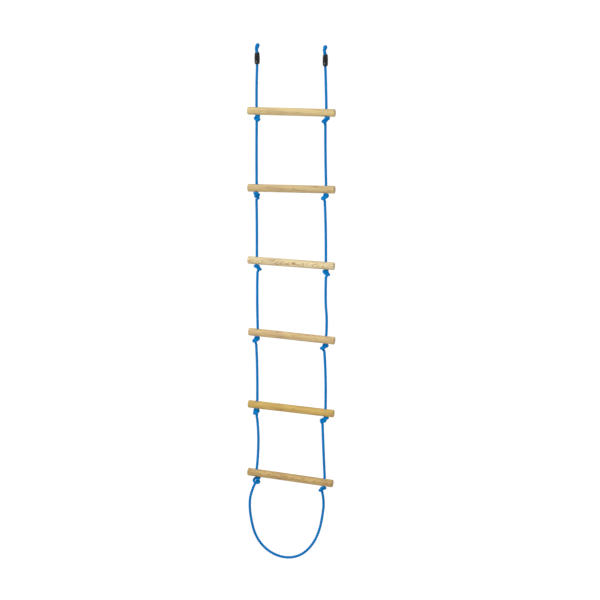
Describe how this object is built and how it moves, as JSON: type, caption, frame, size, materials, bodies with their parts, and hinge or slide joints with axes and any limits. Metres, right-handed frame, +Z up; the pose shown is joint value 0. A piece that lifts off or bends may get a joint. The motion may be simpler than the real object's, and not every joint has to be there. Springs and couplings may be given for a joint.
{
  "type": "rope ladder",
  "caption": "Hanging ladder of round wooden rungs on a twisted plastic rope, knotted under each rung, with clamped rope eyes at the top and a free rope loop at the bottom.",
  "frame": {"origin": "midway along X between the two rope eyes, level with the place where a hook carries the inside of the left one", "axes": "+X along the rungs from the left eye to the right one, +Y towards the back, +Z up along the hanging ladder"},
  "size_m": [0.372, 0.0343, 2.1302],
  "materials": {
    "wood": "sanded, clear lacquer",
    "rope": "laid polypropylene, slightly glossy",
    "clamp_plastic": "moulded, satin",
    "screw_steel": "zinc plated"
  },
  "bodies": {
    "top_ends": {"left_eye": "rope", "left_clamp_front": "clamp_plastic", "left_clamp_back": "clamp_plastic", "left_clamp_screw": "screw_steel", "right_eye": "rope", "right_clamp_front": "clamp_plastic", "right_clamp_back": "clamp_plastic", "right_clamp_screw": "screw_steel"},
    "bay_1": {"left_rope_1": "rope", "right_rope_1": "rope"},
    "rung_1": {"rung_1": "wood", "left_rope_in_rung_1": "rope", "left_knot_1": "rope", "right_rope_in_rung_1": "rope", "right_knot_1": "rope"},
    "bay_2": {"left_rope_2": "rope", "right_rope_2": "rope"},
    "rung_2": {"rung_2": "wood", "left_rope_in_rung_2": "rope", "left_knot_2": "rope", "right_rope_in_rung_2": "rope", "right_knot_2": "rope"},
    "bay_3": {"left_rope_3": "rope", "right_rope_3": "rope"},
    "rung_3": {"rung_3": "wood", "left_rope_in_rung_3": "rope", "left_knot_3": "rope", "right_rope_in_rung_3": "rope", "right_knot_3": "rope"},
    "bay_4": {"left_rope_4": "rope", "right_rope_4": "rope"},
    "rung_4": {"rung_4": "wood", "left_rope_in_rung_4": "rope", "left_knot_4": "rope", "right_rope_in_rung_4": "rope", "right_knot_4": "rope"},
    "bay_5": {"left_rope_5": "rope", "right_rope_5": "rope"},
    "rung_5": {"rung_5": "wood", "left_rope_in_rung_5": "rope", "left_knot_5": "rope", "right_rope_in_rung_5": "rope", "right_knot_5": "rope"},
    "bay_6": {"left_rope_6": "rope", "right_rope_6": "rope"},
    "rung_6": {"rung_6": "wood", "left_rope_in_rung_6": "rope", "left_knot_6": "rope", "right_rope_in_rung_6": "rope", "right_knot_6": "rope"},
    "loop": {"bottom_loop": "rope"}
  },
  "joints": [
    {"name": "bay_1_swing", "type": "hinge", "parent": "top_ends", "child": "bay_1", "pos_m": [0.0002, 0, -0.0815], "axis": [0.9999, 0, -0.0147], "range_deg": [-90, 90]},
    {"name": "rung_1_tip", "type": "hinge", "parent": "bay_1", "child": "rung_1", "pos_m": [0.00095, 0, -0.2425], "axis": [-1, 0, 0.0068], "range_deg": [-90, 90]},
    {"name": "bay_2_swing", "type": "hinge", "parent": "rung_1", "child": "bay_2", "pos_m": [-0.00067, 0, -0.31109], "axis": [-1, 0, 0.0068], "range_deg": [-90, 90]},
    {"name": "rung_2_tip", "type": "hinge", "parent": "bay_2", "child": "rung_2", "pos_m": [0.00035, 0, -0.5535], "axis": [1, 0, 0.0068], "range_deg": [-90, 90]},
    {"name": "bay_3_swing", "type": "hinge", "parent": "rung_2", "child": "bay_3", "pos_m": [-0.00273, 0, -0.62212], "axis": [1, 0, 0.0068], "range_deg": [-90, 90]},
    {"name": "rung_3_tip", "type": "hinge", "parent": "bay_3", "child": "rung_3", "pos_m": [0.00033, 0, -0.85751], "axis": [-0.9994, 0, 0.0342], "range_deg": [-90, 90]},
    {"name": "bay_4_swing", "type": "hinge", "parent": "rung_3", "child": "bay_4", "pos_m": [0.00154, 0, -0.92619], "axis": [-0.9994, 0, 0.0342], "range_deg": [-90, 90]},
    {"name": "rung_4_tip", "type": "hinge", "parent": "bay_4", "child": "rung_4", "pos_m": [0.00275, 0, -1.15904], "axis": [0.9983, 0, -0.058], "range_deg": [-90, 90]},
    {"name": "bay_5_swing", "type": "hinge", "parent": "rung_4", "child": "bay_5", "pos_m": [-0.00493, 0, -1.22731], "axis": [0.9983, 0, -0.058], "range_deg": [-90, 90]},
    {"name": "rung_5_tip", "type": "hinge", "parent": "bay_5", "child": "rung_5", "pos_m": [0.00005, 0, -1.46204], "axis": [-0.9983, 0, 0.058], "range_deg": [-90, 90]},
    {"name": "bay_6_swing", "type": "hinge", "parent": "rung_5", "child": "bay_6", "pos_m": [-0.00753, 0, -1.53031], "axis": [-0.9983, 0, 0.058], "range_deg": [-90, 90]},
    {"name": "rung_6_tip", "type": "hinge", "parent": "bay_6", "child": "rung_6", "pos_m": [-0.00289, 0, -1.75256], "axis": [0.9972, 0, -0.075], "range_deg": [-90, 90]},
    {"name": "loop_swing", "type": "hinge", "parent": "rung_6", "child": "loop", "pos_m": [-0.01192, 0, -1.82068], "axis": [0.9972, 0, -0.075], "range_deg": [-90, 90]}
  ]
}
